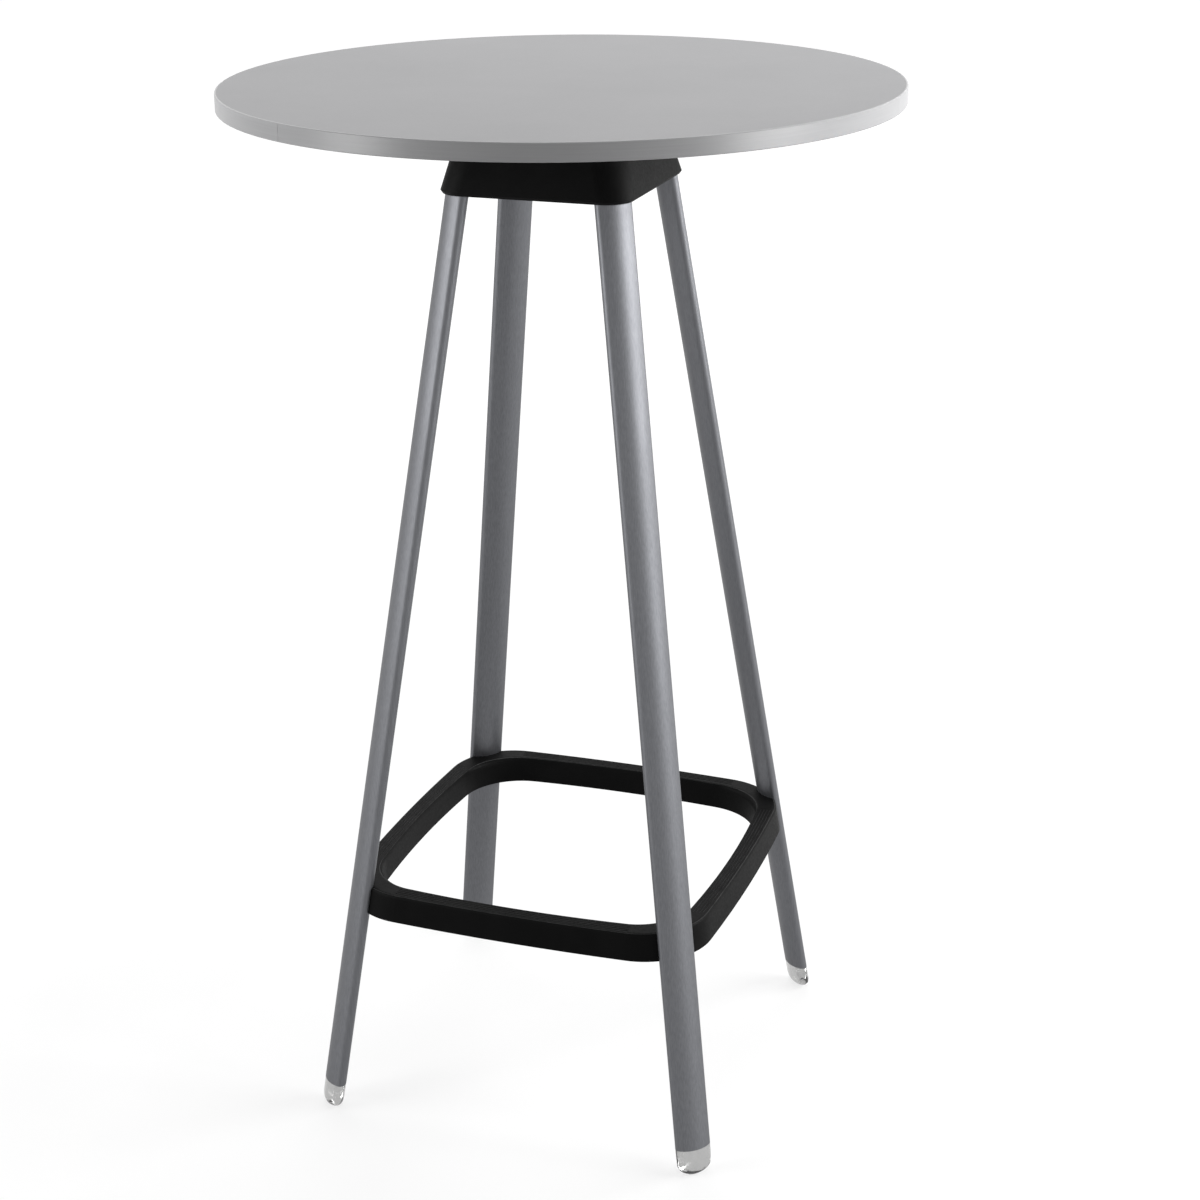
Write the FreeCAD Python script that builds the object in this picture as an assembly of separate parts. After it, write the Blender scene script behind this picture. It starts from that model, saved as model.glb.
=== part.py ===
import FreeCAD, Part
import math
import os

# Bar table. A round board with an edge band stands on a moulded hub, which carries four splayed
# oval legs. A moulded foot ring ties the legs together, and each leg ends in a clear foot.
# Millimetres, +Z up. The origin is on the floor, under the middle of the top.

# Table top
TABLE_HEIGHT = 1110.0
TOP_DIAMETER = 700.0
TOP_THICKNESS = 18.0
EDGE_BAND_THICKNESS = 2.0
EDGE_BAND_BREAK = 0.8
EDGE_SEAM_ANGLE = 241.5
EDGE_SEAM_GAP = 0.3

# Legs: straight oval tubes, leaning in towards the hub
LEG_COUNT = 4
LEG_FIRST_ANGLE = 45.0
LEG_WIDTH = 40.0
LEG_DEPTH = 20.0
LEG_END_RADIUS = 6.0
LEG_WALL = 2.0
LEG_FLOOR_RADIUS = 298.7
LEG_HUB_INSET = 16.3

# Hub: rounded square box, wider at the bottom, open at the top where the board covers it
HUB_HEIGHT = 85.3
HUB_BOTTOM_WIDTH = 208.0
HUB_SIDE_ANGLE = 14.7
HUB_CORNER_RADIUS = 31.0
HUB_EDGE_BREAK = 3.0
HUB_WALL = 3.5
HUB_FLOOR = 5.0
HUB_RIB = 3.0
HUB_SOCKET_DEPTH = 6.0
HUB_SOCKET_ROOF = 10.0
HUB_POST_DIAMETER = 18.0
HUB_POST_ROOF = 8.0
HUB_SCREW_RADIUS = 58.0

# Foot ring: moulded band, hollow from below, notched round the legs at its corners
RING_UNDERSIDE = 233.7
RING_HEIGHT = 29.8
RING_BAND_WIDTH = 19.3
RING_OUTER_SIDE_RADIUS = 2400.0
RING_OUTER_CORNER_RADIUS = 75.0
RING_INNER_SIDE_RADIUS = 1350.0
RING_INNER_CORNER_RADIUS = 70.0
RING_INNER_DRAFT_ANGLE = 2.0
RING_OUTER_EDGE_ROUNDING = 3.0
RING_INNER_EDGE_ROUNDING = 1.5
RING_INNER_EDGE_HEIGHT = 6.0
RING_CORNER_SOFTENING = 6.0
RING_WALL = 3.0
RING_TREAD_WALL = 4.5
RING_CELL_LENGTH = 36.0
RING_CELL_COUNT = 6
RING_RIB = 2.5
RING_ROUNDING_STEPS = 4
RING_POCKET_LENGTH = 7.0
RING_POCKET_WIDTH = 20.0
TREAD_GROOVE_COUNT = 4
TREAD_GROOVE_PITCH = 3.4
TREAD_GROOVE_WIDTH = 1.2
TREAD_GROOVE_DEPTH = 0.5
TREAD_GROOVE_LENGTH = 264.0

# Feet: clear caps that carry on the leg's outline and round in to a flat base with a pad
FOOT_HEIGHT = 29.5
FOOT_STRAIGHT = 18.0
FOOT_BASE_WIDTH = 19.0
FOOT_DOME_STEPS = 3
FOOT_SPIGOT_LENGTH = 28.0
FOOT_SPIGOT_WALL = 2.5
PAD_THICKNESS = 1.5
PAD_PROUD = 0.5
PAD_MARGIN = 1.5

# Fasteners
BOLT_DIAMETER = 6.0
BOLT_HEAD_DIAMETER = 10.0
BOLT_HEAD_HEIGHT = 5.0
BOLT_KEY_SIZE = 4.0
BOLT_KEY_DEPTH = 2.5
LEG_BOLT_LENGTH = 40.0
TOP_SCREW_LENGTH = 18.0
RING_SCREW_LENGTH = 20.0
RING_SCREW_HEAD_HEIGHT = 4.0
WASHER_DIAMETER = 12.0
WASHER_THICKNESS = 1.6
LEG_PLUG_LENGTH = 38.0
TOP_INSERT_DIAMETER = 9.0
TOP_INSERT_LENGTH = 12.0
RIVET_NUT_DIAMETER = 9.0
RIVET_NUT_LENGTH = 13.0
RIVET_NUT_FLANGE_DIAMETER = 13.0
RIVET_NUT_FLANGE = 1.5

# Clearances
SLIP = 0.1
BOLT_PLAY = 0.3
HEAD_PLAY = 0.6
CUT_PAST = 5.0

V = FreeCAD.Vector
UP = V(0, 0, 1)
OUT = V(1, 0, 0)
ORIGIN = V(0, 0, 0)

# Heights and slopes that follow from the sizes above
TOP_UNDERSIDE = TABLE_HEIGHT - TOP_THICKNESS
HUB_UNDERSIDE = TOP_UNDERSIDE - HUB_HEIGHT
LEG_TOP = HUB_UNDERSIDE + HUB_SOCKET_DEPTH
RING_TOP = RING_UNDERSIDE + RING_HEIGHT
HUB_SLOPE = math.tan(math.radians(HUB_SIDE_ANGLE))
HUB_CORNER_REACH = (HUB_BOTTOM_WIDTH / 2 - HUB_CORNER_RADIUS) * math.sqrt(2) + HUB_CORNER_RADIUS
LEG_HUB_RADIUS = HUB_CORNER_REACH - LEG_HUB_INSET
LEG_SLOPE = (LEG_FLOOR_RADIUS - LEG_HUB_RADIUS) / HUB_UNDERSIDE
LEG_SPLAY_ANGLE = math.degrees(math.atan(LEG_SLOPE))
LEG_COSINE = math.cos(math.atan(LEG_SLOPE))
ROOM = 2 * TOP_DIAMETER

LEG_ANGLES = [LEG_FIRST_ANGLE + 360.0 * i / LEG_COUNT for i in range(LEG_COUNT)]
SIDE_ANGLES = [90.0 * i for i in range(4)]


def leg_radius(height):
    """Distance of a leg's axis from the table's axis at a height."""
    return LEG_FLOOR_RADIUS - height * LEG_SLOPE


def along_leg(height):
    """Distance along a leg's axis from the floor up to a height."""
    return height / LEG_COSINE


def turned(shape, angle):
    """Copy of a shape, turned about the table's axis."""
    copy = shape.copy()
    copy.rotate(ORIGIN, UP, angle)
    return copy


def on_leg(shape, angle):
    """Copy of a shape drawn in a leg's own frame: Z up its axis, X out along its depth."""
    lean = FreeCAD.Rotation(V(0, 1, 0), -LEG_SPLAY_ANGLE)
    leaning = FreeCAD.Placement(V(LEG_FLOOR_RADIUS, 0, 0), lean)
    copy = shape.copy()
    copy.Placement = leaning.multiply(copy.Placement)
    return turned(copy, angle)


def between(shape, low, high):
    """The part of a shape between two heights."""
    slab = Part.makeBox(ROOM, ROOM, high - low, V(-ROOM / 2, -ROOM / 2, low))
    return shape.common(slab)


def oval_outline(width, depth, end_radius, height):
    """Oval of four arcs, width along Y and depth along X, with a given radius at its ends."""
    a = width / 2
    b = depth / 2
    flat_radius = ((a - end_radius) ** 2 + b ** 2 - end_radius ** 2) / (2 * (b - end_radius))
    lean = V(flat_radius - b, a - end_radius, 0).normalize()
    join_point = V(0, a - end_radius, height) + lean * end_radius
    x = join_point.x
    y = join_point.y
    corners = [V(x, -y, height), V(x, y, height), V(-x, y, height), V(-x, -y, height)]
    crowns = [V(b, 0, height), V(0, a, height), V(-b, 0, height), V(0, -a, height)]
    arcs = []
    for i in range(4):
        arcs.append(Part.Arc(corners[i], crowns[i], corners[(i + 1) % 4]).toShape())
    return Part.Wire(arcs)


def leg_bar(offset, low, high):
    """Bar along a leg's axis with the leg's outline moved out by an offset."""
    outline = oval_outline(LEG_WIDTH + 2 * offset, LEG_DEPTH + 2 * offset, LEG_END_RADIUS + offset, low)
    return Part.Face(outline).extrude(V(0, 0, high - low))


def rod(diameter, low, high, x=0.0, y=0.0):
    """Upright round bar."""
    return Part.makeCylinder(diameter / 2, high - low, V(x, y, low))


def hexagon_bar(across_flats, low, high):
    """Upright hexagonal bar."""
    turns = [math.radians(60 * i) for i in range(7)]
    reach = across_flats / math.sqrt(3)
    corners = [V(reach * math.cos(a), reach * math.sin(a), low) for a in turns]
    return Part.Face(Part.makePolygon(corners)).extrude(V(0, 0, high - low))


def join(shapes):
    """One solid from touching shapes."""
    return shapes[0].fuse(shapes[1:]).removeSplitter()


def corner_centre(half, side_radius, corner_radius):
    """How far the centre of a corner arc lies from each middle line of a square with bowed sides."""
    reach = side_radius - half
    span = side_radius - corner_radius
    return (math.sqrt(2 * span ** 2 - reach ** 2) - reach) / 2


def corner_reach(half, side_radius, corner_radius):
    """Distance from the middle of a square with bowed sides to its rounded corners."""
    return corner_centre(half, side_radius, corner_radius) * math.sqrt(2) + corner_radius


def half_for_reach(reach, side_radius, corner_radius):
    """Half width of a square with bowed sides whose corners lie at a given distance."""
    centre = (reach - corner_radius) / math.sqrt(2)
    span = side_radius - corner_radius
    return centre + side_radius - math.sqrt(span ** 2 - centre ** 2)


def square_outline(half, side_radius, corner_radius, height):
    """Square with bowed sides and round corners."""
    centre = corner_centre(half, side_radius, corner_radius)
    lean = V(centre + side_radius - half, centre, 0).normalize()
    middle = V(centre, centre, height)
    start = middle + lean * corner_radius
    tip = middle + V(1, 1, 0).normalize() * corner_radius
    end = V(start.y, start.x, height)
    before = V(start.x, -start.y, height)
    crown = V(half, 0, height)
    side = Part.Arc(before, crown, start).toShape()
    corner = Part.Arc(start, tip, end).toShape()
    edges = []
    for angle in SIDE_ANGLES:
        edges.append(turned(side, angle))
        edges.append(turned(corner, angle))
    return Part.Wire(edges)


def skin(outlines):
    """Solid with straight walls through outlines at different heights."""
    return Part.makeLoft(outlines, True, True)


def cap_screw(length):
    """Round-headed key screw. The shank runs up from the head's seat at the origin."""
    head = rod(BOLT_HEAD_DIAMETER, -BOLT_HEAD_HEIGHT, 0)
    shank = rod(BOLT_DIAMETER, 0, length)
    key = hexagon_bar(BOLT_KEY_SIZE, -BOLT_HEAD_HEIGHT, BOLT_KEY_DEPTH - BOLT_HEAD_HEIGHT)
    return join([head, shank]).cut(key)


def hexagon_head_screw(length):
    """Screw with a hexagon head. The shank runs up from the head's seat at the origin."""
    head = hexagon_bar(BOLT_HEAD_DIAMETER, -RING_SCREW_HEAD_HEIGHT, 0)
    return join([head, rod(BOLT_DIAMETER, 0, length)])


# Table top

def hub_screw_places():
    """Plan positions of the screws that hold the hub to the board."""
    turns = [math.radians(angle) for angle in SIDE_ANGLES]
    return [(HUB_SCREW_RADIUS * math.cos(a), HUB_SCREW_RADIUS * math.sin(a)) for a in turns]


def table_top():
    """Round board with blind holes for the threaded inserts in its underside."""
    board = rod(TOP_DIAMETER - 2 * EDGE_BAND_THICKNESS, TOP_UNDERSIDE, TABLE_HEIGHT)
    roof = TOP_UNDERSIDE + TOP_INSERT_LENGTH
    holes = [rod(TOP_INSERT_DIAMETER, TOP_UNDERSIDE, roof, x, y) for x, y in hub_screw_places()]
    return board.cut(holes)


def edge_band():
    """Band round the board's edge, with broken rims and one butt seam."""
    outer = rod(TOP_DIAMETER, TOP_UNDERSIDE, TABLE_HEIGHT)
    rims = [edge for edge in outer.Edges if len(edge.Vertexes) == 1]
    outer = outer.makeChamfer(EDGE_BAND_BREAK, rims)
    board = rod(TOP_DIAMETER - 2 * EDGE_BAND_THICKNESS, TOP_UNDERSIDE, TABLE_HEIGHT)
    seam_corner = V(0, -EDGE_SEAM_GAP / 2, TOP_UNDERSIDE)
    seam = Part.makeBox(TOP_DIAMETER, EDGE_SEAM_GAP, TOP_THICKNESS, seam_corner)
    return outer.cut([board, turned(seam, EDGE_SEAM_ANGLE)])


def top_inserts():
    """Threaded sleeves in the board."""
    roof = TOP_UNDERSIDE + TOP_INSERT_LENGTH
    sleeves = []
    for x, y in hub_screw_places():
        sleeve = rod(TOP_INSERT_DIAMETER, TOP_UNDERSIDE, roof, x, y)
        sleeves.append(sleeve.cut(rod(BOLT_DIAMETER, TOP_UNDERSIDE, roof, x, y)))
    return Part.Compound(sleeves)


def top_screws():
    """Screws up through the hub's posts into the sleeves."""
    screw = cap_screw(TOP_SCREW_LENGTH)
    seat = TOP_UNDERSIDE - HUB_POST_ROOF
    return Part.Compound([screw.translated(V(x, y, seat)) for x, y in hub_screw_places()])


# Hub

def hub_half(height, inset):
    """Half width of the hub at a height above its underside, moved in by an inset."""
    return HUB_BOTTOM_WIDTH / 2 - height * HUB_SLOPE - inset


def hub_block(low, inset):
    """Sloping block from a height up to the hub's top, its walls moved in, with round corners."""
    a = hub_half(low, inset)
    b = hub_half(HUB_HEIGHT, inset)
    block = Part.makeWedge(-a, low, -a, -b, -b, a, HUB_HEIGHT, a, b, b)
    block.rotate(ORIGIN, OUT, 90)
    corners = [edge for edge in block.Edges if edge.BoundBox.ZLength > HUB_WALL]
    return block.makeFillet(HUB_CORNER_RADIUS - inset, corners).translated(V(0, 0, HUB_UNDERSIDE))


def hub_bolt_seat():
    """Distance up a leg's axis to the seat of its bolt inside the hub."""
    return along_leg(LEG_TOP) + HUB_SOCKET_ROOF


def hub():
    """Moulded box with leg sockets below, screw posts, ribs and an open top."""
    body = hub_block(0, 0)
    rim = [edge for edge in body.Edges if edge.BoundBox.ZMax < HUB_UNDERSIDE + HUB_FLOOR]
    body = body.makeChamfer(HUB_EDGE_BREAK, rim)
    hollow = hub_block(HUB_FLOOR, HUB_WALL)

    limit = hub_block(HUB_FLOOR / 2, HUB_WALL / 2)
    inside = []
    for x, y in hub_screw_places():
        inside.append(rod(HUB_POST_DIAMETER, HUB_UNDERSIDE, TOP_UNDERSIDE, x, y))
    rib_start = V(-HUB_BOTTOM_WIDTH / 2, -HUB_RIB / 2, HUB_UNDERSIDE)
    straight_rib = Part.makeBox(HUB_BOTTOM_WIDTH, HUB_RIB, HUB_HEIGHT, rib_start)
    inside += [straight_rib, turned(straight_rib, 90)]
    key_room = BOLT_HEAD_DIAMETER / 2 + HEAD_PLAY
    rib_length = leg_radius(TOP_UNDERSIDE) - key_room
    corner_rib = Part.makeBox(rib_length, HUB_RIB, HUB_HEIGHT, V(0, -HUB_RIB / 2, HUB_UNDERSIDE))
    socket_wall = leg_bar(HUB_WALL, along_leg(HUB_UNDERSIDE), hub_bolt_seat())
    for angle in LEG_ANGLES:
        inside.append(turned(corner_rib, angle))
        inside.append(on_leg(socket_wall, angle))
    body = join([body.cut(hollow)] + [piece.common(limit) for piece in inside])

    socket = leg_bar(SLIP, along_leg(HUB_UNDERSIDE) - LEG_DEPTH, along_leg(LEG_TOP) + LEG_DEPTH)
    bolt_hole = rod(BOLT_DIAMETER + 2 * BOLT_PLAY, along_leg(HUB_UNDERSIDE), hub_bolt_seat())
    head_room = rod(
        WASHER_DIAMETER + 2 * HEAD_PLAY, hub_bolt_seat(),
        hub_bolt_seat() + WASHER_THICKNESS + BOLT_HEAD_HEIGHT + HEAD_PLAY)
    holes = []
    for angle in LEG_ANGLES:
        holes.append(between(on_leg(socket, angle), HUB_UNDERSIDE - CUT_PAST, LEG_TOP))
        holes.append(on_leg(bolt_hole, angle))
        holes.append(on_leg(head_room, angle))
    seat = TOP_UNDERSIDE - HUB_POST_ROOF
    for x, y in hub_screw_places():
        holes.append(rod(BOLT_HEAD_DIAMETER + 2 * HEAD_PLAY, HUB_UNDERSIDE, seat, x, y))
        holes.append(rod(BOLT_DIAMETER + 2 * BOLT_PLAY, HUB_UNDERSIDE, TOP_UNDERSIDE, x, y))
    return body.cut(holes).removeSplitter()


# Legs and what holds them

def ring_screw_height():
    """Height at which the ring's screws cross the legs' axes."""
    return RING_UNDERSIDE + RING_HEIGHT / 2


def along_depth(shape):
    """A shape drawn along Z from the leg's axis, laid out along the leg's depth at the ring."""
    copy = shape.copy()
    across = FreeCAD.Rotation(UP, OUT)
    crossing = V(0, 0, along_leg(ring_screw_height()))
    copy.Placement = FreeCAD.Placement(crossing, across).multiply(copy.Placement)
    return copy


def leg(angle):
    """Oval tube, cut level at both ends, with a hole for the ring's rivet nut."""
    low = along_leg(FOOT_HEIGHT) - LEG_DEPTH
    high = along_leg(LEG_TOP) + LEG_DEPTH
    tube = leg_bar(0, low, high)
    bore = leg_bar(-LEG_WALL, low, high)
    nut_hole = along_depth(rod(RIVET_NUT_DIAMETER, -LEG_DEPTH / 2 - CUT_PAST, 0))
    return between(on_leg(tube.cut([bore, nut_hole]), angle), FOOT_HEIGHT, LEG_TOP)


def leg_plug(angle):
    """Oval plug in the tube's upper end, with a threaded hole for the leg bolt."""
    low = along_leg(LEG_TOP) - LEG_PLUG_LENGTH
    high = along_leg(LEG_TOP) + LEG_DEPTH
    plug = leg_bar(-LEG_WALL - SLIP, low, high).cut(rod(BOLT_DIAMETER, low, high))
    return between(on_leg(plug, angle), HUB_UNDERSIDE - 2 * LEG_PLUG_LENGTH, LEG_TOP)


def leg_bolts():
    """Bolts down through the socket roofs into the plugs."""
    bolt = cap_screw(LEG_BOLT_LENGTH)
    bolt.rotate(ORIGIN, OUT, 180)
    bolt = bolt.translated(V(0, 0, hub_bolt_seat() + WASHER_THICKNESS))
    return Part.Compound([on_leg(bolt, angle) for angle in LEG_ANGLES])


def leg_washers():
    """Washers under the leg bolts' heads."""
    low = hub_bolt_seat()
    high = low + WASHER_THICKNESS
    washer = rod(WASHER_DIAMETER, low, high).cut(rod(BOLT_DIAMETER + 2 * SLIP, low, high))
    return Part.Compound([on_leg(washer, angle) for angle in LEG_ANGLES])


# Foot ring

def ring_outer_half(height):
    """Half width of the ring's outside at a height. Its corners run along the legs' axes."""
    reach = leg_radius(height)
    return half_for_reach(reach, RING_OUTER_SIDE_RADIUS, RING_OUTER_CORNER_RADIUS)


def ring_inner_half(height):
    """Half width of the ring's inside at a height."""
    draft = (RING_TOP - height) * math.tan(math.radians(RING_INNER_DRAFT_ANGLE))
    return ring_outer_half(RING_TOP) - RING_BAND_WIDTH - draft


def rising_wall(low, high, edge_height):
    """Heights up a wall to its rounded upper edge, each with its share of the rounding."""
    stations = [(low, 0.0)]
    for i in range(RING_ROUNDING_STEPS + 1):
        turn = math.radians(90.0 * i / RING_ROUNDING_STEPS)
        stations.append((high - edge_height * (1 - math.sin(turn)), 1 - math.cos(turn)))
    return stations


def ring_outside(stations, inset):
    """Block that fills the ring's outer wall, moved in by an inset."""
    outlines = []
    for height, share in stations:
        move = inset + share * RING_OUTER_EDGE_ROUNDING
        outlines.append(square_outline(
            ring_outer_half(height) - move, RING_OUTER_SIDE_RADIUS - move,
            RING_OUTER_CORNER_RADIUS - move, height))
    return skin(outlines)


def ring_inside(stations, inset):
    """Block that fills the ring's hole, moved out by an inset. Its upper edge is softer at the corners."""
    sharper = RING_CORNER_SOFTENING / (math.sqrt(2) - 1)
    outlines = []
    for height, share in stations:
        move = inset + share * RING_INNER_EDGE_ROUNDING
        outlines.append(square_outline(
            ring_inner_half(height) + move, RING_INNER_SIDE_RADIUS + move,
            RING_INNER_CORNER_RADIUS + move - share * sharper, height))
    return skin(outlines)


def ring_cells():
    """Hollows in the ring's underside, parted by ribs, between the solid corners."""
    roof = RING_TOP - RING_TREAD_WALL
    walls = [(RING_UNDERSIDE - CUT_PAST, 0.0), (roof, 0.0)]
    band = ring_outside(walls, RING_WALL).cut(ring_inside(walls, RING_WALL))
    pitch = RING_CELL_LENGTH + RING_RIB
    first = -(RING_CELL_COUNT * pitch - RING_RIB) / 2
    cells = []
    for i in range(RING_CELL_COUNT):
        corner = V(0, first + i * pitch, RING_UNDERSIDE - CUT_PAST)
        cell = band.common(Part.makeBox(ROOM, RING_CELL_LENGTH, RING_HEIGHT + CUT_PAST, corner))
        cells += [turned(cell, angle) for angle in SIDE_ANGLES]
    return cells


def tread_grooves():
    """Fine grooves along the top of each side, bowed like the side."""
    side_radius = (RING_INNER_SIDE_RADIUS + RING_OUTER_SIDE_RADIUS) / 2
    middle = ring_outer_half(RING_TOP) - RING_BAND_WIDTH / 2
    half_turn = math.degrees(TREAD_GROOVE_LENGTH / 2 / side_radius)
    pivot = V(middle - side_radius, 0, 0)
    grooves = []
    for i in range(TREAD_GROOVE_COUNT):
        offset = (i - (TREAD_GROOVE_COUNT - 1) / 2) * TREAD_GROOVE_PITCH
        near = middle + offset - TREAD_GROOVE_WIDTH / 2
        far = near + TREAD_GROOVE_WIDTH
        floor = RING_TOP - TREAD_GROOVE_DEPTH
        roof = RING_TOP + CUT_PAST
        corners = [V(near, 0, floor), V(far, 0, floor), V(far, 0, roof), V(near, 0, roof)]
        face = Part.Face(Part.makePolygon(corners + corners[:1]))
        face.rotate(pivot, UP, -half_turn)
        groove = face.revolve(pivot, UP, 2 * half_turn)
        grooves += [turned(groove, angle) for angle in SIDE_ANGLES]
    return grooves


def ring_screw_seat():
    """Distance from a leg's axis in to the seat of its ring screw."""
    height = ring_screw_height()
    inside = corner_reach(
        ring_inner_half(height), RING_INNER_SIDE_RADIUS, RING_INNER_CORNER_RADIUS)
    return (leg_radius(height) - inside) * LEG_COSINE - RING_WALL - RING_POCKET_LENGTH


def ring_pocket():
    """Room for a ring screw's head and a spanner, open at the ring's underside."""
    floor = along_leg(RING_UNDERSIDE) - LEG_DEPTH
    roof = along_leg(ring_screw_height()) + BOLT_HEAD_DIAMETER / math.sqrt(3) + HEAD_PLAY
    corner = V(-ring_screw_seat() - RING_POCKET_LENGTH, -RING_POCKET_WIDTH / 2, floor)
    return Part.makeBox(RING_POCKET_LENGTH, RING_POCKET_WIDTH, roof - floor, corner)


def foot_ring():
    """Band with grooved treads, hollow underside, leg notches and screw pockets."""
    outer = ring_outside(rising_wall(RING_UNDERSIDE, RING_TOP, RING_OUTER_EDGE_ROUNDING), 0)
    inner = ring_inside(rising_wall(RING_UNDERSIDE, RING_TOP, RING_INNER_EDGE_HEIGHT), 0)
    band = outer.cut(inner)

    low = along_leg(RING_UNDERSIDE) - LEG_DEPTH
    high = along_leg(RING_TOP) + LEG_DEPTH
    notch = leg_bar(SLIP, low, high)
    seat = -ring_screw_seat()
    face = -LEG_DEPTH / 2
    screw_hole = along_depth(rod(BOLT_DIAMETER + 2 * BOLT_PLAY, seat, face))
    flange_room = along_depth(
        rod(RIVET_NUT_FLANGE_DIAMETER + 2 * BOLT_PLAY, face - RIVET_NUT_FLANGE - SLIP, face))
    cuts = ring_cells() + tread_grooves()
    for angle in LEG_ANGLES:
        cuts += [on_leg(piece, angle) for piece in (notch, screw_hole, ring_pocket(), flange_room)]
    return band.cut(cuts).removeSplitter()


def ring_screws():
    """Screws from the pockets in the ring's corners into the legs."""
    screw = along_depth(hexagon_head_screw(RING_SCREW_LENGTH).translated(V(0, 0, -ring_screw_seat())))
    return Part.Compound([on_leg(screw, angle) for angle in LEG_ANGLES])


def ring_rivet_nuts():
    """Flanged rivet nuts set in the legs' inner walls."""
    face = -LEG_DEPTH / 2
    flange = rod(RIVET_NUT_FLANGE_DIAMETER, face - RIVET_NUT_FLANGE, face)
    body = rod(RIVET_NUT_DIAMETER, face, face - RIVET_NUT_FLANGE + RIVET_NUT_LENGTH)
    bore = rod(BOLT_DIAMETER, face - RIVET_NUT_FLANGE, face - RIVET_NUT_FLANGE + RIVET_NUT_LENGTH)
    nut = along_depth(join([flange, body]).cut(bore))
    return Part.Compound([on_leg(nut, angle) for angle in LEG_ANGLES])


# Feet

def foot_outline(height, share):
    """Level outline of a foot at a height, at a share of its full size."""
    depth = LEG_DEPTH / LEG_COSINE
    outline = oval_outline(LEG_WIDTH * share, depth * share, LEG_END_RADIUS * share, height)
    return outline.translated(V(leg_radius(height), 0, 0))


def foot_head():
    """Visible end of a foot: it leans with the leg, then rounds in to a flat base."""
    equator = FOOT_HEIGHT - FOOT_STRAIGHT
    last_turn = math.acos(FOOT_BASE_WIDTH / LEG_WIDTH)
    dome_height = (equator - PAD_PROUD) / math.sin(last_turn)
    outlines = [foot_outline(FOOT_HEIGHT, 1)]
    for i in range(FOOT_DOME_STEPS + 1):
        turn = last_turn * i / FOOT_DOME_STEPS
        outlines.append(foot_outline(equator - dome_height * math.sin(turn), math.cos(turn)))
    return skin(outlines)


def pad(low, high):
    """Oval pad under a foot, inside the flat of its base."""
    share = FOOT_BASE_WIDTH / LEG_WIDTH
    width = FOOT_BASE_WIDTH - 2 * PAD_MARGIN
    depth = LEG_DEPTH / LEG_COSINE * share - 2 * PAD_MARGIN
    outline = oval_outline(width, depth, LEG_END_RADIUS * share - PAD_MARGIN / 2, low)
    bar = Part.Face(outline).extrude(V(0, 0, high - low))
    return bar.translated(V(leg_radius(PAD_PROUD), 0, 0))


def foot(angle):
    """Clear cap under the leg with a hollow spigot up its bore."""
    start = along_leg(FOOT_HEIGHT - FOOT_STRAIGHT / 2)
    tip = along_leg(FOOT_HEIGHT) + FOOT_SPIGOT_LENGTH
    spigot = leg_bar(-LEG_WALL - SLIP, start, tip)
    core = leg_bar(-LEG_WALL - SLIP - FOOT_SPIGOT_WALL, along_leg(FOOT_HEIGHT), tip)
    body = join([foot_head(), on_leg(spigot, 0)])
    body = body.cut([on_leg(core, 0), pad(0, PAD_THICKNESS)])
    return turned(body, angle)


def foot_pad(angle):
    """Thin pad let into the foot's base, standing a little proud of it."""
    return turned(pad(0, PAD_THICKNESS), angle)


# Writing the pieces

LEG_NAMES = ["back_right", "back_left", "front_left", "front_right"]


def pieces():
    """Every piece of the table by name."""
    found = {
        "table_top": table_top(),
        "edge_band": edge_band(),
        "top_inserts": top_inserts(),
        "top_screws": top_screws(),
        "hub": hub(),
        "leg_bolts": leg_bolts(),
        "leg_washers": leg_washers(),
        "foot_ring": foot_ring(),
        "ring_screws": ring_screws(),
        "ring_rivet_nuts": ring_rivet_nuts(),
    }
    for name, angle in zip(LEG_NAMES, LEG_ANGLES):
        found["leg_" + name] = leg(angle)
        found["leg_plug_" + name] = leg_plug(angle)
        found["foot_" + name] = foot(angle)
        found["foot_pad_" + name] = foot_pad(angle)
    return found


os.makedirs("parts", exist_ok=True)
for piece_name, piece_shape in pieces().items():
    piece_shape.exportStep(os.path.join("parts", piece_name + ".step"))
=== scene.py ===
import math

import bpy
from mathutils import Matrix, Vector

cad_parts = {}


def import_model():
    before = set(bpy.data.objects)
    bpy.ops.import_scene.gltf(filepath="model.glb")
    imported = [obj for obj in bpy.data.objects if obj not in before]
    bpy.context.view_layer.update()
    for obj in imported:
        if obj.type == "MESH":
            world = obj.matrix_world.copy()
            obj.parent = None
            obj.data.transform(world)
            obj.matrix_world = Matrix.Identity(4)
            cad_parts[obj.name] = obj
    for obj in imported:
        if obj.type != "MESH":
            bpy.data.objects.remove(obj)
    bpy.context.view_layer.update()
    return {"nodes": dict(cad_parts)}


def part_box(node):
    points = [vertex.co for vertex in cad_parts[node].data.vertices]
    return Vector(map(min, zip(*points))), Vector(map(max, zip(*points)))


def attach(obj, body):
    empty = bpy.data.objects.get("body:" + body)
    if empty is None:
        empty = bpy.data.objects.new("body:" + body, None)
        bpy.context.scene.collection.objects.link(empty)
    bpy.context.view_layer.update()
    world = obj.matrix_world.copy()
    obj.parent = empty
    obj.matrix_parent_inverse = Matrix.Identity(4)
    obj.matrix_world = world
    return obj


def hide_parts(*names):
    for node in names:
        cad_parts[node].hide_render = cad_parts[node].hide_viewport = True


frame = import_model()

# Camera: where it stands and looks, in metres and degrees in the table's frame, and its optics
CAMERA_DISTANCE = 2.4992
CAMERA_HEIGHT = 1.4935
CAMERA_AZIMUTH = 20.481
CAMERA_YAW = 0.7862
CAMERA_PITCH = 18.9389
CAMERA_ROLL = -0.5942
CAMERA_LENS_MM = 73.443
CAMERA_SENSOR_MM = 36.0
CAMERA_SHIFT_Y = -0.065

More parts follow.
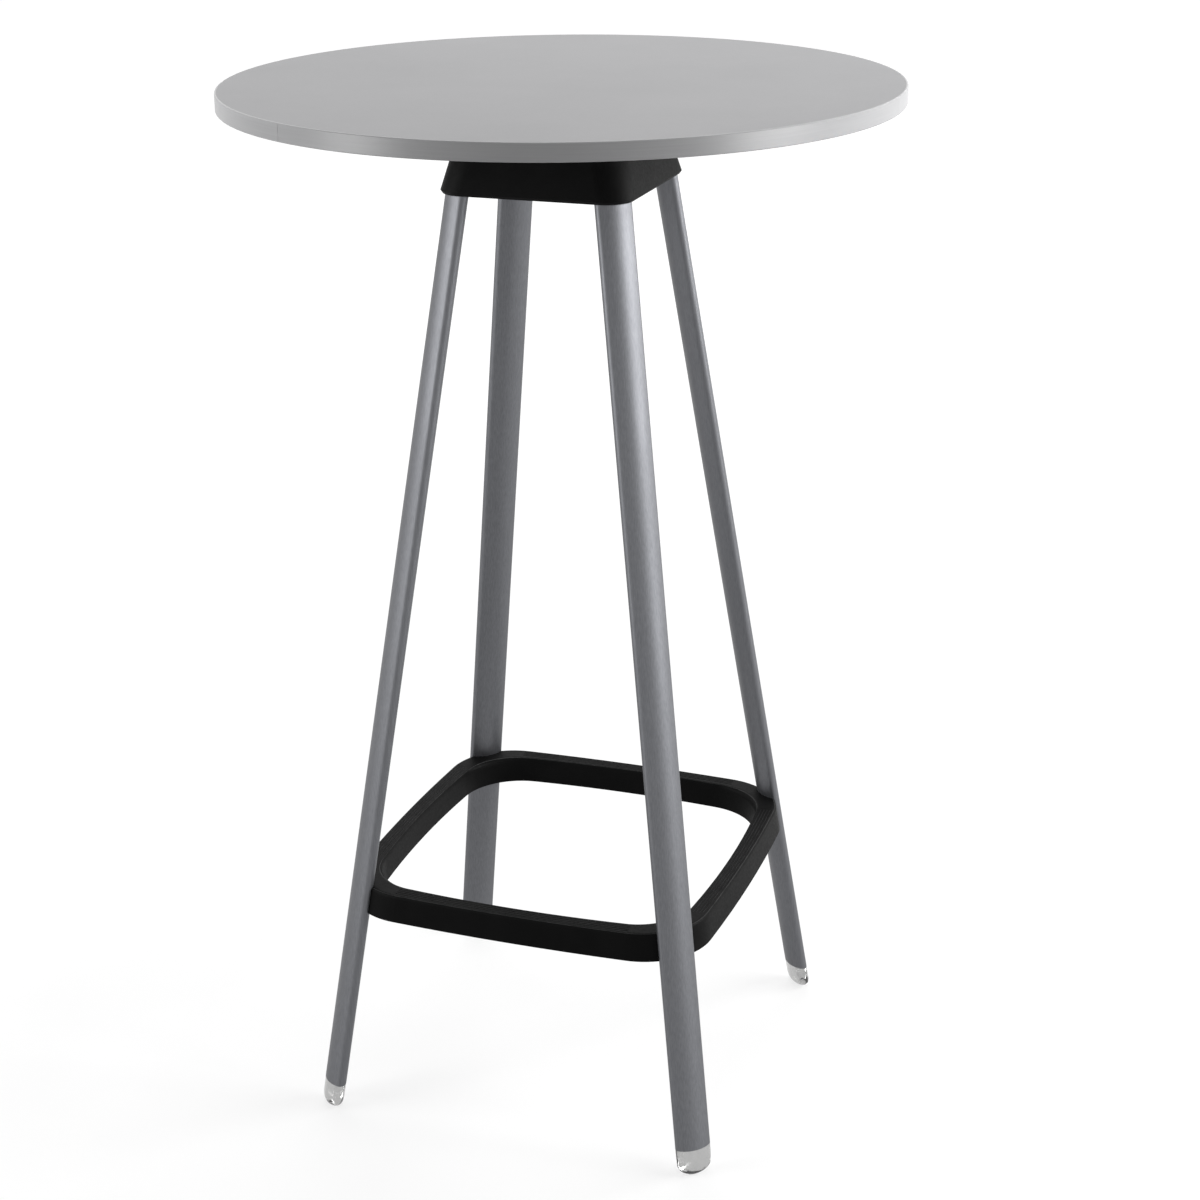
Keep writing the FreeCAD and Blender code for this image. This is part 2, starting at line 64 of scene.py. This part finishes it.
# Lights: where each stands as the camera sees it (right, near, up), the height on the table's
# axis that it aims at, its width and height, and its power in watts
LIGHTS = {
    "overhead": ((0.0, -2.8, 4.4), 0.0, (4.0, 4.0), 163.0),
    "right_high": ((2.9, -0.2, 1.75), 1.75, (2.4, 1.0), 128.0),
    "right_low": ((2.9, 1.35, 1.05), 1.05, (1.5, 0.9), 50.0),
    "left_high": ((-2.9, 0.45, 1.75), 1.75, (1.8, 1.0), 52.0),
    "left_low": ((-2.9, 1.3, 0.95), 0.95, (1.2, 0.9), 26.0),
}
SURROUND_STRENGTH = 0.04
WHITE = (1.0, 1.0, 1.0, 1.0)

# Floor: its glow near the table and far off, and where the change starts and ends
FLOOR_SIZE = 60.0
FLOOR_LIFT = 0.72
FLOOR_LIFT_FAR = 0.98
FLOOR_NEAR = 0.9
FLOOR_FAR = 4.5

# Legs: where each stands round the table, and how far it leans in, in degrees
LEG_AZIMUTHS = {"back_right": 45.0, "back_left": 135.0, "front_left": 225.0, "front_right": 315.0}
LEG_SPLAY = 10.18

# Foot caps: detail of their skin, its crease angle, and the heights between which the dome's
# smoothing fades out
FOOT_SKIN_DEPTH = 6
FOOT_CREASE = math.radians(40.0)
FOOT_SMOOTH_TOP = 0.022
FOOT_SMOOTH_FULL = 0.016
FOOT_SMOOTH_PASSES = 40

# Edge band: how far below the board's face the painted light that pales its lip fades in, and
# where it is full
BAND_PAINTED_LIGHT_START = 0.0009
BAND_PAINTED_LIGHT_FULL = 0.0002

# Foot ring: depth of the tread grooves, and the band of heights that holds their floors
TREAD_GROOVE_DEPTH = 0.0005
TREAD_GROOVE_BAND = 0.0002

# Tones: the darker and the lighter colour that each surface's pattern runs between
BOARD_TONES = ((0.4, 0.399, 0.406), (0.424, 0.423, 0.43))
BAND_TONES = ((0.315, 0.315, 0.321), (0.341, 0.341, 0.347))
# Painted light: the paler colour painted on the edge band's top lip
LIP_PAINTED_LIGHT_TONES = ((0.396, 0.396, 0.401), (0.42, 0.42, 0.425))
LEG_TONES = ((0.112, 0.114, 0.122), (0.15, 0.153, 0.163))
HUB_TONES = ((0.0035, 0.0035, 0.0035), (0.006, 0.006, 0.006))
RING_TONES = ((0.002, 0.002, 0.002), (0.0038, 0.0038, 0.0038))
# Paler colour on the floors of the foot ring's tread grooves
GROOVE_FLOOR_TONES = ((0.022, 0.022, 0.022), (0.046, 0.046, 0.046))
FOOT_TONES = ((0.38, 0.38, 0.378), (0.46, 0.46, 0.457))
PAD_TONES = ((0.05, 0.05, 0.05), (0.08, 0.08, 0.08))
ZINC_TONES = ((0.5, 0.5, 0.51), (0.62, 0.62, 0.62))
BLACK_STEEL_TONES = ((0.012, 0.012, 0.013), (0.03, 0.03, 0.032))
FLOOR_TONES = ((0.238, 0.238, 0.238), (0.255, 0.255, 0.255))

# Where along a pattern its two tones are reached, and the span that most noise values lie in
TONE_STOPS = (0.3, 0.7)
GRAIN_STOPS = (0.25, 0.75)
NOISE_SPAN = (0.25, 0.75)

# Drawn-out patterns: waves per metre along the three axes, on the legs with the last along the leg
BAND_LINES = (12.0, 12.0, 700.0)
LEG_GRAIN = (900.0, 900.0, 14.0)
LEG_BLOOM = (18.0, 18.0, 9.0)


# Node helpers

def new_material(name):
    """Node material with only a shader and an output, its node tree and the shader."""
    material = bpy.data.materials.new(name)
    material.use_nodes = True
    tree = material.node_tree
    tree.nodes.clear()
    output = tree.nodes.new("ShaderNodeOutputMaterial")
    shader = tree.nodes.new("ShaderNodeBsdfPrincipled")
    tree.links.new(shader.outputs["BSDF"], output.inputs["Surface"])
    return material, tree, shader


def set_inputs(node, values):
    """Constant values on a node's own sockets."""
    for name, value in values.items():
        node.inputs[name].default_value = value


def place(tree, scale=(1.0, 1.0, 1.0), rotation=(0.0, 0.0, 0.0)):
    """Object coordinates in metres, turned and scaled."""
    coordinates = tree.nodes.new("ShaderNodeTexCoord")
    mapping = tree.nodes.new("ShaderNodeMapping")
    set_inputs(mapping, {"Rotation": rotation, "Scale": scale})
    tree.links.new(coordinates.outputs["Object"], mapping.inputs["Vector"])
    return mapping.outputs["Vector"]


def height_above(tree):
    """Height above the floor, in metres."""
    node = tree.nodes.new("ShaderNodeSeparateXYZ")
    tree.links.new(place(tree), node.inputs["Vector"])
    return node.outputs["Z"]


def noise(tree, vector, scale, detail=3.0, roughness=0.55):
    """Noise between 0 and 1, with a number of waves to each unit of the vector."""
    node = tree.nodes.new("ShaderNodeTexNoise")
    set_inputs(node, {"Scale": scale, "Detail": detail, "Roughness": roughness})
    tree.links.new(vector, node.inputs["Vector"])
    return node.outputs["Fac"]


def tones(tree, pattern, pair, stops=TONE_STOPS):
    """A pattern's colours, from the darker tone of a pair to the lighter."""
    node = tree.nodes.new("ShaderNodeValToRGB")
    for element, position, colour in zip(node.color_ramp.elements, stops, pair):
        element.position = position
        element.color = (*colour, 1.0)
    tree.links.new(pattern, node.inputs["Fac"])
    return node.outputs["Color"]


def remap(tree, value, low, high, span=NOISE_SPAN):
    """A value that runs over a span, spread between two numbers."""
    node = tree.nodes.new("ShaderNodeMapRange")
    set_inputs(node, {"From Min": span[0], "From Max": span[1], "To Min": low, "To Max": high})
    tree.links.new(value, node.inputs["Value"])
    return node.outputs["Result"]


def combine(tree, operation, first, second):
    """Two values joined by a math operation."""
    node = tree.nodes.new("ShaderNodeMath")
    node.operation = operation
    tree.links.new(first, node.inputs[0])
    tree.links.new(second, node.inputs[1])
    return node.outputs["Value"]


def blend(tree, share, under, over):
    """Two colours mixed: all the first where the share is 0, all the second where it is 1."""
    node = tree.nodes.new("ShaderNodeMix")
    node.data_type = "RGBA"
    tree.links.new(share, node.inputs["Factor"])
    tree.links.new(under, node.inputs["A"])
    tree.links.new(over, node.inputs["B"])
    return node.outputs["Result"]


def paint(tree, shader, colour, roughness):
    """A shader's colour and roughness, from patterns."""
    tree.links.new(colour, shader.inputs["Base Color"])
    tree.links.new(roughness, shader.inputs["Roughness"])


def bump(tree, shader, height, strength, depth):
    """Fine relief: depth in metres."""
    node = tree.nodes.new("ShaderNodeBump")
    set_inputs(node, {"Strength": strength, "Distance": depth})
    tree.links.new(height, node.inputs["Height"])
    tree.links.new(node.outputs["Normal"], shader.inputs["Normal"])


def seen_rays(tree):
    """1 for rays that show the background, directly or in metal or glass, and 0 for the rest."""
    path = tree.nodes.new("ShaderNodeLightPath")
    total = path.outputs["Is Camera Ray"]
    for name in ("Is Glossy Ray", "Is Transmission Ray"):
        total = combine(tree, "MAXIMUM", total, path.outputs[name])
    return total


# Materials

def laminate():
    """Pale grey board facing: a soft cloud, a matt speckle and a fine relief."""
    material, tree, shader = new_material("board_laminate")
    here = place(tree)
    cloud = noise(tree, here, scale=5.0)
    speckle = noise(tree, here, scale=260.0)
    paint(tree, shader, tones(tree, cloud, BOARD_TONES), remap(tree, speckle, low=0.6, high=0.7))
    bump(tree, shader, noise(tree, here, scale=1400.0), strength=0.12, depth=0.0002)
    set_inputs(shader, {"Specular IOR Level": 0.05})
    return material


def edging():
    """Semi-gloss plastic edging with faint lines along the band, and painted light that makes its
    top lip paler.
    """
    material, tree, shader = new_material("edge_band_plastic")
    lines = noise(tree, place(tree, BAND_LINES), scale=1.0)
    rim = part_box("edge_band")[1][2]
    # Painted light: the band's top lip is coloured paler, near the board's colour, fading in up to
    # the rim
    painted_light_span = (rim - BAND_PAINTED_LIGHT_START, rim - BAND_PAINTED_LIGHT_FULL)
    painted_light_share = remap(tree, height_above(tree), low=0.0, high=1.0, span=painted_light_span)
    colour = blend(tree, painted_light_share, tones(tree, lines, BAND_TONES), tones(tree, lines, LIP_PAINTED_LIGHT_TONES))
    sheen = noise(tree, place(tree), scale=40.0)
    paint(tree, shader, colour, remap(tree, sheen, low=0.3, high=0.34))
    return material


def leg_metal(name, azimuth):
    """Satin silver with a fine grain along the leg and a soft bloom in its gloss."""
    material, tree, shader = new_material("leg_satin_" + name)
    lean = Matrix.Rotation(math.radians(-LEG_SPLAY), 3, "Y")
    turn = Matrix.Rotation(math.radians(azimuth), 3, "Z") @ lean
    lay = tuple(turn.transposed().to_euler())
    grain = noise(tree, place(tree, LEG_GRAIN, lay), scale=1.0, detail=4.0)
    bloom = noise(tree, place(tree, LEG_BLOOM, lay), scale=1.0)
    colour = tones(tree, grain, LEG_TONES, GRAIN_STOPS)
    paint(tree, shader, colour, remap(tree, bloom, low=0.47, high=0.55))
    bump(tree, shader, grain, strength=0.05, depth=0.0001)
    set_inputs(shader, {"Metallic": 1.0})
    return material


def black_plastic(name, pair):
    """Black moulded plastic with a fine spark texture."""
    material, tree, shader = new_material(name)
    here = place(tree)
    cloud = noise(tree, here, scale=30.0)
    sheen = noise(tree, here, scale=350.0)
    paint(tree, shader, tones(tree, cloud, pair), remap(tree, sheen, low=0.46, high=0.6))
    bump(tree, shader, noise(tree, here, scale=1800.0), strength=0.25, depth=0.0002)
    set_inputs(shader, {"Specular IOR Level": 0.045})
    return material


def ring_plastic():
    """The foot ring's black plastic, paler on the floors of the tread grooves."""
    material = black_plastic("foot_ring_plastic", RING_TONES)
    tree = material.node_tree
    base = tree.nodes["Principled BSDF"].inputs["Base Color"]
    plastic = base.links[0].from_socket
    groove = tree.nodes.new("ShaderNodeMath")
    groove.operation = "COMPARE"
    tree.links.new(height_above(tree), groove.inputs[0])
    groove.inputs[1].default_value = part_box("foot_ring")[1][2] - TREAD_GROOVE_DEPTH
    groove.inputs[2].default_value = TREAD_GROOVE_BAND
    # Paler colour on the floors of the tread grooves, mixed in over the black plastic
    groove_floor_colour = tones(tree, noise(tree, place(tree), scale=60.0), GROOVE_FLOOR_TONES)
    tree.links.new(blend(tree, groove.outputs["Value"], plastic, groove_floor_colour), base)
    return material


def clear_plastic():
    """Clear, lightly frosted plastic with a faint flow ripple."""
    material, tree, shader = new_material("clear_plastic")
    flow = noise(tree, place(tree), scale=60.0)
    paint(tree, shader, tones(tree, flow, FOOT_TONES), remap(tree, flow, low=0.07, high=0.13))
    bump(tree, shader, flow, strength=0.08, depth=0.0006)
    set_inputs(shader, {"Transmission Weight": 1.0, "IOR": 1.49})
    return material


def rubber():
    """Dark matt pad rubber."""
    material, tree, shader = new_material("pad_rubber")
    grit = noise(tree, place(tree), scale=900.0)
    paint(tree, shader, tones(tree, grit, PAD_TONES), remap(tree, grit, low=0.7, high=0.9))
    bump(tree, shader, grit, strength=0.3, depth=0.0002)
    return material


def fastener_metal(name, pair):
    """Plated or blackened steel with fine turning marks."""
    material, tree, shader = new_material(name)
    marks = noise(tree, place(tree), scale=700.0)
    paint(tree, shader, tones(tree, marks, pair), remap(tree, marks, low=0.28, high=0.42))
    bump(tree, shader, marks, strength=0.1, depth=0.0001)
    set_inputs(shader, {"Metallic": 1.0})
    return material


# Pieces

def dress(node, material):
    """Gives a CAD node its material."""
    for slot in frame["nodes"][node].material_slots:
        slot.material = material


def settle(piece):
    """Turns a piece's modifiers into its mesh."""
    evaluated = piece.evaluated_get(bpy.context.evaluated_depsgraph_get())
    mesh = bpy.data.meshes.new_from_object(evaluated)
    piece.modifiers.clear()
    piece.data = mesh


def foot_cap(name, material):
    """A clear foot with its stepped dome smoothed, in place of the foot's solid."""
    node = frame["nodes"]["foot_" + name]
    cap = bpy.data.objects.new("foot_cap_" + name, node.data.copy())
    bpy.context.scene.collection.objects.link(cap)
    skin = cap.modifiers.new("skin", "REMESH")
    skin.mode = "SHARP"
    skin.octree_depth = FOOT_SKIN_DEPTH
    skin.use_smooth_shade = True
    settle(cap)
    dome = cap.vertex_groups.new(name="dome")
    for vertex in cap.data.vertices:
        share = (FOOT_SMOOTH_TOP - vertex.co.z) / (FOOT_SMOOTH_TOP - FOOT_SMOOTH_FULL)
        if share > 0.0:
            dome.add([vertex.index], min(share, 1.0), "REPLACE")
    relax = cap.modifiers.new("relax", "SMOOTH")
    relax.iterations = FOOT_SMOOTH_PASSES
    relax.vertex_group = dome.name
    settle(cap)
    cap.data.set_sharp_from_angle(angle=FOOT_CREASE)
    cap.data.materials.clear()
    cap.data.materials.append(material)
    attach(cap, "root")
    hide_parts("foot_" + name)


def dress_table():
    """Materials for every node, with the feet in clear caps."""
    dress("table_top", laminate())
    dress("edge_band", edging())
    dress("hub", black_plastic("hub_plastic", HUB_TONES))
    dress("foot_ring", ring_plastic())
    zinc = fastener_metal("zinc_steel", ZINC_TONES)
    for node in ("top_inserts", "top_screws", "leg_bolts", "leg_washers", "ring_rivet_nuts"):
        dress(node, zinc)
    dress("ring_screws", fastener_metal("black_steel", BLACK_STEEL_TONES))
    plug = black_plastic("plug_plastic", HUB_TONES)
    clear = clear_plastic()
    pad = rubber()
    for name, azimuth in LEG_AZIMUTHS.items():
        dress("leg_" + name, leg_metal(name, azimuth))
        dress("leg_plug_" + name, plug)
        foot_cap(name, clear)
        dress("foot_pad_" + name, pad)


# Stage, light and camera

def floor():
    """Pale floor that keeps the table's shadow and brightens away from it."""
    bpy.ops.mesh.primitive_plane_add(size=FLOOR_SIZE)
    plane = bpy.context.object
    plane.name = "floor"
    material, tree, shader = new_material("floor_paper")
    here = place(tree)
    paper = noise(tree, here, scale=3.0)
    tree.links.new(tones(tree, paper, FLOOR_TONES), shader.inputs["Base Color"])
    set_inputs(shader, {"Roughness": 0.9, "Specular IOR Level": 0.1, "Emission Color": WHITE})
    away = tree.nodes.new("ShaderNodeVectorMath")
    away.operation = "LENGTH"
    tree.links.new(here, away.inputs[0])
    reach = (FLOOR_NEAR, FLOOR_FAR)
    lift = remap(tree, away.outputs["Value"], FLOOR_LIFT, FLOOR_LIFT_FAR, span=reach)
    glow = combine(tree, "MULTIPLY", lift, seen_rays(tree))
    tree.links.new(glow, shader.inputs["Emission Strength"])
    plane.data.materials.append(material)


def world():
    """A dim even surround that looks white past the floor's edge, also in metal and glass."""
    surround = bpy.data.worlds.new("studio")
    surround.use_nodes = True
    tree = surround.node_tree
    background = tree.nodes["Background"]
    set_inputs(background, {"Color": WHITE})
    level = remap(tree, seen_rays(tree), low=SURROUND_STRENGTH, high=1.0, span=(0.0, 1.0))
    tree.links.new(level, background.inputs["Strength"])
    bpy.context.scene.world = surround


def from_camera(right, near, height):
    """A place given as seen by the camera: to its right, towards it and up from the floor."""
    return Matrix.Rotation(math.radians(CAMERA_AZIMUTH), 3, "Z") @ Vector((right, -near, height))


def area_light(name, stand, aim_height, size, watts):
    """Rectangular soft light, placed as the camera sees it and aimed at the table's axis."""
    data = bpy.data.lights.new(name, "AREA")
    data.shape = "RECTANGLE"
    data.size = size[0]
    data.size_y = size[1]
    data.energy = watts
    lamp = bpy.data.objects.new(name, data)
    bpy.context.scene.collection.objects.link(lamp)
    lamp.location = from_camera(*stand)
    aim = Vector((0.0, 0.0, aim_height)) - lamp.location
    lamp.rotation_euler = aim.to_track_quat("-Z", "Y").to_euler()


def camera():
    """Camera at the photograph's place and angle."""
    yaw = math.radians(CAMERA_YAW)
    pitch = math.radians(CAMERA_PITCH)
    roll = math.radians(CAMERA_ROLL)
    ahead = math.cos(pitch)
    forward = Vector((math.sin(yaw) * ahead, math.cos(yaw) * ahead, -math.sin(pitch)))
    level = Vector((math.cos(yaw), -math.sin(yaw), 0.0))
    above = level.cross(forward)
    right = level * math.cos(roll) + above * math.sin(roll)
    up = above * math.cos(roll) - level * math.sin(roll)
    axes = Matrix((right, up, -forward)).transposed().to_4x4()
    around = Matrix.Rotation(math.radians(CAMERA_AZIMUTH), 4, "Z")
    stand = Matrix.Translation((0.0, -CAMERA_DISTANCE, CAMERA_HEIGHT))
    data = bpy.data.cameras.new("camera")
    data.sensor_width = CAMERA_SENSOR_MM
    data.lens = CAMERA_LENS_MM
    data.shift_y = CAMERA_SHIFT_Y
    viewer = bpy.data.objects.new("camera", data)
    viewer.matrix_world = around @ stand @ axes
    bpy.context.scene.collection.objects.link(viewer)
    bpy.context.scene.camera = viewer


dress_table()
floor()
world()
for light, (stand, aim_height, size, watts) in LIGHTS.items():
    area_light(light, stand, aim_height, size, watts)
camera()
bpy.context.scene.view_settings.view_transform = "Standard"
